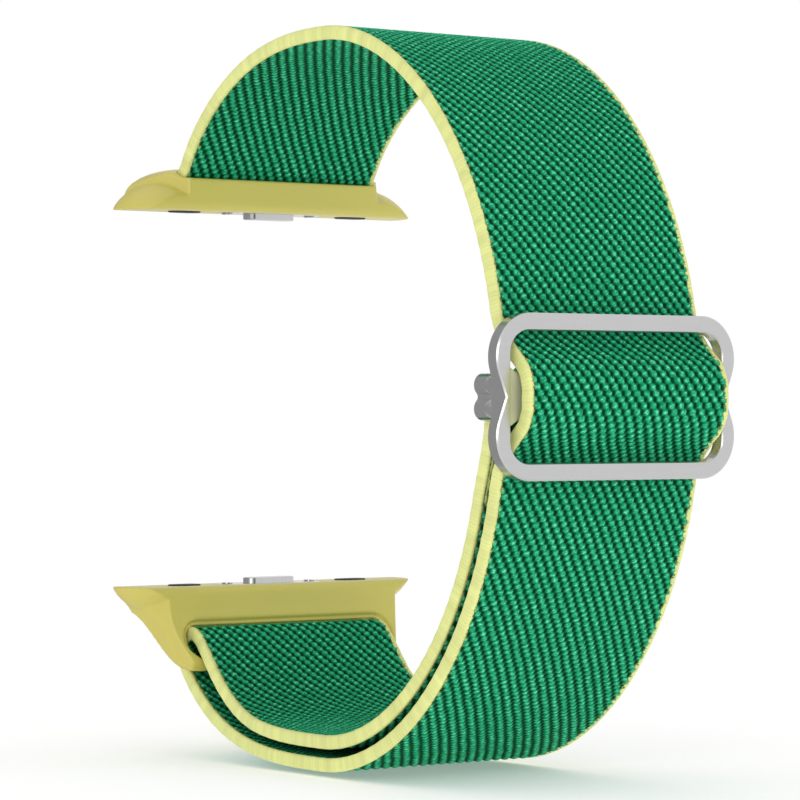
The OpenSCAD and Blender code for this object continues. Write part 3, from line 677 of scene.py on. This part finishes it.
def finish_of(name):
    settings = bpy.context.scene.watch_band
    return once(name, {
        "webbing": lambda: webbing_material(settings),
        "selvedge": lambda: selvedge_material(settings),
        "thread": lambda: thread_material(settings),
        "buckle_steel": lambda: metal_material(
            "Satin Buckle Steel", settings.steel_colour, 0.28, (0.12, 1.0, 1.0)),
        # Painted reflection: the bar's light olive colour on a mostly non-metal finish stands in
        # for the yellow selvedge and the light that its steel reflects.
        "bar_steel_painted_reflection": lambda: metal_material(
            "Bar Steel With Painted Reflection", (0.6, 0.6, 0.4), 0.5, metallic=0.15),
        "hardware_steel": lambda: metal_material(
            "Hardware Steel", settings.steel_colour, 0.27, (1.0, 0.15, 1.0)),
        "lug_paint": lambda: metal_material(
            "Satin Lug Paint", settings.lug_colour, 0.42, metallic=0.0, grain=0.04, coat=0.12,
            depth=0.000003),
        "pad_rubber": lambda: metal_material(
            "Pad Rubber", (0.035, 0.035, 0.037), 0.7, metallic=0.0, grain=0.3, depth=0.00001),
    }[name])


def dress(obj, slot, finish=None):
    """Gives a piece one material: the finish named by finish, or else the one named by slot."""
    obj.data.materials.clear()
    obj.data.materials.append(finish_of(finish or slot))
    return obj


def cloth_rides(obj, half):
    """Bakes the piece's place into its mesh, the same way for the upper half (1), the lower half
    (-1) and the turn in the lower lug (0)."""
    if half == 0:
        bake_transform(obj)
        return
    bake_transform(obj)


# Pieces


def changing(s, start, end, first, last):
    """A size that goes smoothly from first to last between two distances."""
    t = np.clip((s - start) / (end - start), 0, 1)
    t = t * t * (3 - 2 * t)
    return first * (1 - t) + last * t


class BuildWebbing(bpy.types.Operator):
    """Builds the woven strap from the upper lug to its sewn end"""

    bl_idname = "watch_band.webbing"
    bl_label = "Webbing"

    def execute(self, context):
        path = once("path", band_path)
        mark = path.mark
        settings = context.scene.watch_band
        # Name, start, end, columns to a third of a float outside and inside, node and half
        runs = [
            ("webbing_upper_back", "start", "top", 3, 3, "webbing_upper_run", None),
            ("webbing_upper_front", "top", "upper_joint", 3, 2, "webbing_upper_run", 1),
            ("webbing_over_bar_top", "upper_joint", "crest", 3, 2, "webbing_over_bar", 1),
            ("webbing_over_bar_low", "crest", "lower_joint", 3, 2, "webbing_over_bar", -1),
            ("webbing_lower_front", "lower_joint", "bottom", 3, 1, "webbing_lower_run", -1),
            ("webbing_lower_back", "bottom", "turn", 3, 1, "webbing_lower_run", 0),
            ("webbing_inner_back", "turn", "inner_bottom", 3, 1, "webbing_lower_run", 0),
            ("webbing_inner_front", "inner_bottom", "inner_joint", 3, 1, "webbing_lower_run", -1),
        ]
        for name, start, end, outer, inner, node, half in runs:
            piece = webbing(name, path, mark[start], mark[end], settings, outer, inner)
            dress(piece, "webbing")
            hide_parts(node)
            if half is None:
                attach(piece, "band")
            else:
                cloth_rides(piece, half)

        def half_width(s):
            return changing(s, mark["narrowing"], mark["narrowing"] + 0.5, CORE, LOOP_W / 2)

        def thickness(s):
            return changing(s, mark["under"] + 0.6, mark["tail"], BAND_T, TAIL_T)

        piece = webbing("webbing_end_loop_piece", path, mark["inner_joint"], mark["end"],
                        settings, 2, 2, half_width=half_width, thickness=thickness, bound=True)
        dress(piece, "webbing")
        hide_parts("webbing_end_loop")
        cloth_rides(piece, -1)
        return {"FINISHED"}


class BuildSelvedge(bpy.types.Operator):
    """Builds the two rounded woven edges along the whole strap"""

    bl_idname = "watch_band.selvedge"
    bl_label = "Selvedge"

    def execute(self, context):
        path = once("path", band_path)
        mark = path.mark
        # Name, start, end, node and half
        runs = [
            ("selvedge_upper", "start", "upper_joint", "selvedge_upper_run", 1),
            ("selvedge_over_bar_top", "upper_joint", "crest", "selvedge_over_bar", 1),
            ("selvedge_over_bar_low", "crest", "lower_joint", "selvedge_over_bar", -1),
            ("selvedge_lower_front", "lower_joint", "bottom", "selvedge_lower_run", -1),
            ("selvedge_lower_back", "bottom", "turn", "selvedge_lower_run", 0),
            ("selvedge_inner_back", "turn", "inner_bottom", "selvedge_lower_run", 0),
            ("selvedge_inner_front", "inner_bottom", "inner_joint", "selvedge_lower_run", -1),
            ("selvedge_end", "inner_joint", "selvedge_stop", "selvedge_end_loop", -1),
        ]
        for name, start, end, node, half in runs:
            piece = selvedge(name, path, mark[start], mark[end])
            dress(piece, "selvedge")
            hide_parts(node)
            cloth_rides(piece, half)
        return {"FINISHED"}


class BuildStitching(bpy.types.Operator):
    """Sews the two rows of stitches through the pressed tail"""

    bl_idname = "watch_band.stitching"
    bl_label = "Stitching"

    def execute(self, context):
        leg = once("path", band_path).leg
        margin, in_row = 1, 9
        pitch = (LOOP_W - 2 * margin) / in_row
        stitches = []
        for row, share in enumerate((0.42, 0.58)):
            (point,), (normal,) = leg.frames([leg.s[-1] * share])
            for face, lift in ((-1, -HALF), (1, HALF + TAIL_T)):
                for i in range(in_row):
                    stitches.append(stitch((i - in_row // 2) * pitch, point + lift * normal,
                                           face * normal, f"stitch_{row}_{face}_{i}"))
        piece = join(stitches, "end_loop_thread")
        dress(piece, "thread")
        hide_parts("end_loop_stitching")
        cloth_rides(piece, -1)
        return {"FINISHED"}


def stitch(x, point, out, name, length=1.3, radius=0.16):
    """One arched stitch that dips into the cloth at both ends."""
    steps, sides, turns = 12, 10, 4
    t = np.linspace(0, 1, steps + 1)
    along = x + (t - 0.5) * length
    rise = 0.11 * np.sin(np.pi * t) ** 0.7 - 0.07
    taper = radius * np.sin(np.pi * np.clip(t, 0.03, 0.97)) ** 0.35
    twist, flattened = 1 + 0.06 * np.cos(2 * np.pi * t * turns), 0.8
    up = np.array([0, out[0], out[1]])
    across = np.array([0, -out[1], out[0]])
    verts = []
    for k in range(steps + 1):
        centre = np.array([along[k], point[0], point[1]]) + rise[k] * up
        for angle in np.linspace(0, 2 * np.pi, sides, endpoint=False):
            verts.append(centre + taper[k] * twist[k]
                         * (flattened * math.sin(angle) * up + math.cos(angle) * across))
    faces = [[k * sides + i, k * sides + (i + 1) % sides, (k + 1) * sides + (i + 1) % sides,
              (k + 1) * sides + i] for k in range(steps) for i in range(sides)]
    faces += [list(range(sides))[::-1], [steps * sides + i for i in range(sides)]]
    obj = clean(name)
    obj.data.from_pydata([tuple(v * MM) for v in verts], [], faces)
    obj.data.polygons.foreach_set("use_smooth", [True] * len(faces))
    obj.data.update()
    face_outwards(obj)
    return obj


def copy_of(node, name):
    """A merged copy of a CAD node's mesh, ready to be worked on."""
    obj = clean(name)
    obj.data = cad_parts[node].data.copy()
    obj.data.name = name
    only(obj, editing=True)
    bpy.ops.mesh.remove_doubles(threshold=0.000002)
    bpy.ops.mesh.dissolve_limited(angle_limit=math.radians(1.0))
    edited()
    return obj


def apply_all(obj):
    only(obj)
    for modifier in list(obj.modifiers):
        bpy.ops.object.modifier_apply(modifier=modifier.name)


def eased(obj, width):
    """Rounds the edges of a machined piece and smooths its curves."""
    bevel = obj.modifiers.new("Edges", "BEVEL")
    bevel.width = width
    bevel.segments = 2
    bevel.limit_method = "ANGLE"
    bevel.angle_limit = math.radians(35)
    apply_all(obj)
    bpy.ops.object.shade_smooth_by_angle(angle=math.radians(32))
    return obj


def moulded(obj, voxel):
    """Turns a cast piece into one even skin and rounds all its edges."""
    remesh = obj.modifiers.new("Skin", "REMESH")
    remesh.mode = "VOXEL"
    remesh.voxel_size = voxel
    remesh.use_smooth_shade = True
    smooth = obj.modifiers.new("Round", "SMOOTH")
    smooth.factor = 0.5
    smooth.iterations = 6
    apply_all(obj)
    bpy.ops.object.shade_smooth()
    return obj


def buckle_ring():
    """The frame, with its front drawn out anew and rounded along both rims."""
    obj = copy_of("buckle_frame", "buckle_ring")
    front = min(v.co.y for v in obj.data.vertices)
    depth = 0.00038
    cut = front + depth
    only(obj, editing=True)
    bpy.ops.mesh.bisect(plane_co=(0, cut, 0), plane_no=(0, 1, 0), use_fill=True,
                        clear_inner=True, threshold=0.0000005)
    edited()
    pick_front(obj, cut)
    bpy.ops.mesh.extrude_region_move(TRANSFORM_OT_translate={"value": (0, -depth, 0)})
    bpy.ops.object.mode_set(mode="OBJECT")
    for outer, width in ((True, 0.00014), (False, 0.0001)):
        pick_rim(obj, front, outer)
        bpy.ops.mesh.bevel(offset=width, segments=1, affect="EDGES", clamp_overlap=False)
        edited()
    bpy.ops.object.shade_smooth_by_angle(angle=math.radians(24))
    return obj


def in_plane(point, y, tolerance=1e-6):
    return abs(point.y - y) < tolerance


def faces_front(face):
    return face.normal.y < -0.9


def pick_front(obj, y):
    """Leaves edit mode on with only the faces selected that face the front at y."""
    bpy.ops.object.mode_set(mode="EDIT")
    bpy.ops.mesh.select_mode(type="FACE")
    mesh = bmesh.from_edit_mesh(obj.data)
    for face in mesh.faces:
        face.select_set(in_plane(face.calc_center_median(), y) and faces_front(face))
    bmesh.update_edit_mesh(obj.data)


def pick_rim(obj, y, outer):
    """Leaves edit mode on with only the edges selected where the plane at y meets the
    outer wall, or the wall of the window."""
    window_x, window_z = 0.01275, 0.00605
    bpy.ops.object.mode_set(mode="EDIT")
    bpy.ops.mesh.select_mode(type="EDGE")
    mesh = bmesh.from_edit_mesh(obj.data)
    for edge in mesh.edges:
        flat = [f for f in edge.link_faces if faces_front(f)]
        at = all(in_plane(v.co, y) for v in edge.verts)
        outside = all(abs(v.co.x) > window_x or abs(v.co.z) > window_z for v in edge.verts)
        edge.select_set(at and len(edge.link_faces) == 2 and len(flat) == 1
                        and outside == outer)
    bmesh.update_edit_mesh(obj.data)


def middle_bar():
    """The bar, with both ends of its saddle let into the frame."""
    obj = moulded(copy_of("buckle_bar", "middle_bar"), 0.0001)
    front, saddle_end, let_in, rise = (BAR_Y - BAR_R) * MM, 0.01245, 0.0002, 0.0006
    for vert in obj.data.vertices:
        share = min(1.0, max(0.0, (front - vert.co.y) / rise))
        if abs(vert.co.x) > saddle_end:
            vert.co.x += math.copysign(let_in * share, vert.co.x)
    return obj


class BuildBuckle(bpy.types.Operator):
    """Finishes the slide buckle's frame and its middle bar"""

    bl_idname = "watch_band.buckle"
    bl_label = "Buckle"

    def execute(self, context):
        ring = buckle_ring()
        dress(ring, "buckle_steel")
        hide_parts("buckle_frame")
        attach(ring, "buckle")
        bar = middle_bar()
        # The bar's finish paints its reflection of the yellow selvedge into its colour.
        dress(bar, "buckle_steel", "bar_steel_painted_reflection")
        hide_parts("buckle_bar")
        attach(bar, "buckle")
        return {"FINISHED"}


class BuildLugs(bpy.types.Operator):
    """Finishes both painted lugs with soft edges"""

    bl_idname = "watch_band.lugs"
    bl_label = "Lugs"

    def execute(self, context):
        for node, body in (("upper_lug_body", "band"), ("lower_lug_body", "lower_lug")):
            lug = moulded(copy_of(node, node.replace("_body", "_shell")), 0.00014)
            dress(lug, "lug_paint")
            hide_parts(node)
            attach(lug, body)
        return {"FINISHED"}


class BuildCatches(bpy.types.Operator):
    """Finishes the catches, springs, plates, screws and pads in both lugs"""

    bl_idname = "watch_band.catches"
    bl_label = "Catches"

    def execute(self, context):
        for end, body in (("upper", "band"), ("lower", "lower_lug")):
            for part, slot, ride, width in (
                    ("catch", "hardware_steel", f"{end}_catch", 0.00012),
                    ("catch_spring", "hardware_steel", body, 0.00002),
                    ("retainer_plate", "hardware_steel", body, 0.00004),
                    ("retainer_screws", "hardware_steel", body, 0.00003),
                    ("lug_pads", "pad_rubber", body, 0.00008)):
                node = f"{end}_{part}"
                piece = eased(copy_of(node, f"{node}_finished"), width)
                dress(piece, slot)
                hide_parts(node)
                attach(piece, ride)
                if part == "catch_spring":
                    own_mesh(piece)
        return {"FINISHED"}


FLOOR_Z = -0.0366


def grey_card():
    """A curved grey card behind and under the band that only its metal mirrors."""
    angles = np.radians(np.linspace(-120, 25, 25))
    verts = [(r * math.sin(a), -0.03 + r * math.cos(a), z)
             for r, z in ((0.02, -0.0364), (0.55, -0.036), (0.55, 0.6)) for a in angles]
    count = len(angles)
    faces = [(i, i + 1, count + i + 1, count + i)
             for j in (0, count) for i in range(j, j + count - 1)]
    card = clean("grey_card")
    card.data.from_pydata(verts, [], faces)
    material, tree = tree_of("Grey Card")
    add(tree, "ShaderNodeOutputMaterial", {"Surface": glow(tree, 0.42).outputs[0]})
    card.data.materials.append(material)
    card.visible_camera = card.visible_diffuse = card.visible_shadow = False
    card.visible_transmission = False
    return card


def seen_rays(tree):
    """1 for rays from the camera and through mirrors and glass, 0 for diffuse light."""
    rays = add(tree, "ShaderNodeLightPath").outputs
    return maths(tree, "ADD", rays["Is Camera Ray"],
                 maths(tree, "ADD", rays["Is Glossy Ray"], rays["Is Transmission Ray"]),
                 clamp=True)


def glow(tree, strength):
    return add(tree, "ShaderNodeEmission", {"Color": (1, 1, 1, 1), "Strength": strength})


def floor_material():
    """A pale floor that keeps the shadow near the band and fades to white away from it."""
    material, tree = tree_of("Pale Floor")
    coords = add(tree, "ShaderNodeTexCoord")
    away = add(tree, "ShaderNodeVectorMath", {0: coords.outputs["Object"]}, operation="LENGTH")
    far = maths(tree, "MULTIPLY", maths(tree, "SUBTRACT", away.outputs["Value"], 0.05), 9.0,
                clamp=True)
    dull = add(tree, "ShaderNodeBsdfDiffuse", {"Color": (0.88, 0.88, 0.88, 1)})
    near, lit = (add(tree, "ShaderNodeAddShader",
                     {0: dull.outputs[0], 1: glow(tree, strength).outputs[0]})
                 for strength in (0.25, 0.5))
    shown = add(tree, "ShaderNodeMixShader", {0: far, 1: near.outputs[0],
                                              2: glow(tree, 1.0).outputs[0]})
    both = add(tree, "ShaderNodeMixShader", {0: seen_rays(tree), 1: lit.outputs[0],
                                             2: shown.outputs[0]})
    add(tree, "ShaderNodeOutputMaterial", {"Surface": both.outputs[0]})
    return material


class BuildStage(bpy.types.Operator):
    """Sets the floor, the soft lamps and the camera"""

    bl_idname = "watch_band.stage"
    bl_label = "Stage"

    def execute(self, context):
        scene = context.scene
        bpy.ops.object.select_all(action="DESELECT")
        bpy.ops.mesh.primitive_circle_add(vertices=96, radius=3.0, fill_type="NGON",
                                          location=(0, -CENTRE * MM, FLOOR_Z))
        floor = context.object
        floor.name = "floor"
        floor.data.materials.append(floor_material())

        world = bpy.data.worlds.new("Studio")
        scene.world = world
        world.use_nodes = True
        tree = world.node_tree
        tree.nodes.clear()
        level = maths(tree, "MULTIPLY_ADD", seen_rays(tree), 0.2, 0.8)
        back = add(tree, "ShaderNodeBackground", {"Color": (1, 1, 1, 1), "Strength": level})
        add(tree, "ShaderNodeOutputWorld", {"Surface": back.outputs[0]})

        # Name, place, size, power and whether mirrors show it
        lamps = [
            ("key", (-0.55, -0.42, 0.14), 0.34, 0.95, True),
            ("fill", (0.3, -0.6, 0.03), 0.1, 0.5, False),
            ("top", (-0.1, -0.1, 0.6), 0.5, 0.25, False),
        ]
        loop_height = 0.036
        for name, spot, size, power, mirrored in lamps:
            light = bpy.data.lights.new(name, "AREA")
            light.shape, light.size, light.energy = "SQUARE", size, power
            lamp = bpy.data.objects.new(name, light)
            scene.collection.objects.link(lamp)
            lamp.location = spot
            lamp.visible_glossy = mirrored
            aim = floor.location - lamp.location
            aim.z += loop_height
            lamp.rotation_euler = aim.to_track_quat("-Z", "Y").to_euler()
        grey_card()

        camera = bpy.data.cameras.new("Camera")
        camera.sensor_width, camera.lens = 36.0, 162.4
        camera.clip_start, camera.clip_end = 0.01, 20.0
        eye = bpy.data.objects.new("Camera", camera)
        scene.collection.objects.link(eye)
        eye.location = (-0.215, -0.30875, -0.00107)
        eye.rotation_euler = (math.radians(90.14), 0, math.radians(-36.94))
        scene.camera = eye
        scene.view_settings.view_transform = "Standard"
        return {"FINISHED"}


class BandPanel(bpy.types.Panel):
    """Lists the pieces of the watch band"""

    bl_idname = "VIEW3D_PT_watch_band"
    bl_label = "Watch Band"
    bl_space_type = "VIEW_3D"
    bl_region_type = "UI"
    bl_category = "Watch Band"

    def draw(self, context):
        layout = self.layout
        settings = context.scene.watch_band
        for name in ("webbing_colour", "selvedge_colour", "lug_colour", "steel_colour",
                     "yarn_depth", "tooth_depth"):
            layout.prop(settings, name)
        for operator in STEPS:
            layout.operator(operator.bl_idname)


STEPS = (BuildWebbing, BuildSelvedge, BuildStitching, BuildBuckle, BuildLugs, BuildCatches,
         BuildStage)
CLASSES = (BandSettings, *STEPS, BandPanel)


def register():
    for each in CLASSES:
        bpy.utils.register_class(each)
    bpy.types.Scene.watch_band = bpy.props.PointerProperty(type=BandSettings)


def unregister():
    del bpy.types.Scene.watch_band
    for each in reversed(CLASSES):
        bpy.utils.unregister_class(each)


def main():
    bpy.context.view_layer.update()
    register()
    for step in STEPS:
        area, name = step.bl_idname.split(".")
        getattr(getattr(bpy.ops, area), name)()


if __name__ == "__main__":
    main()
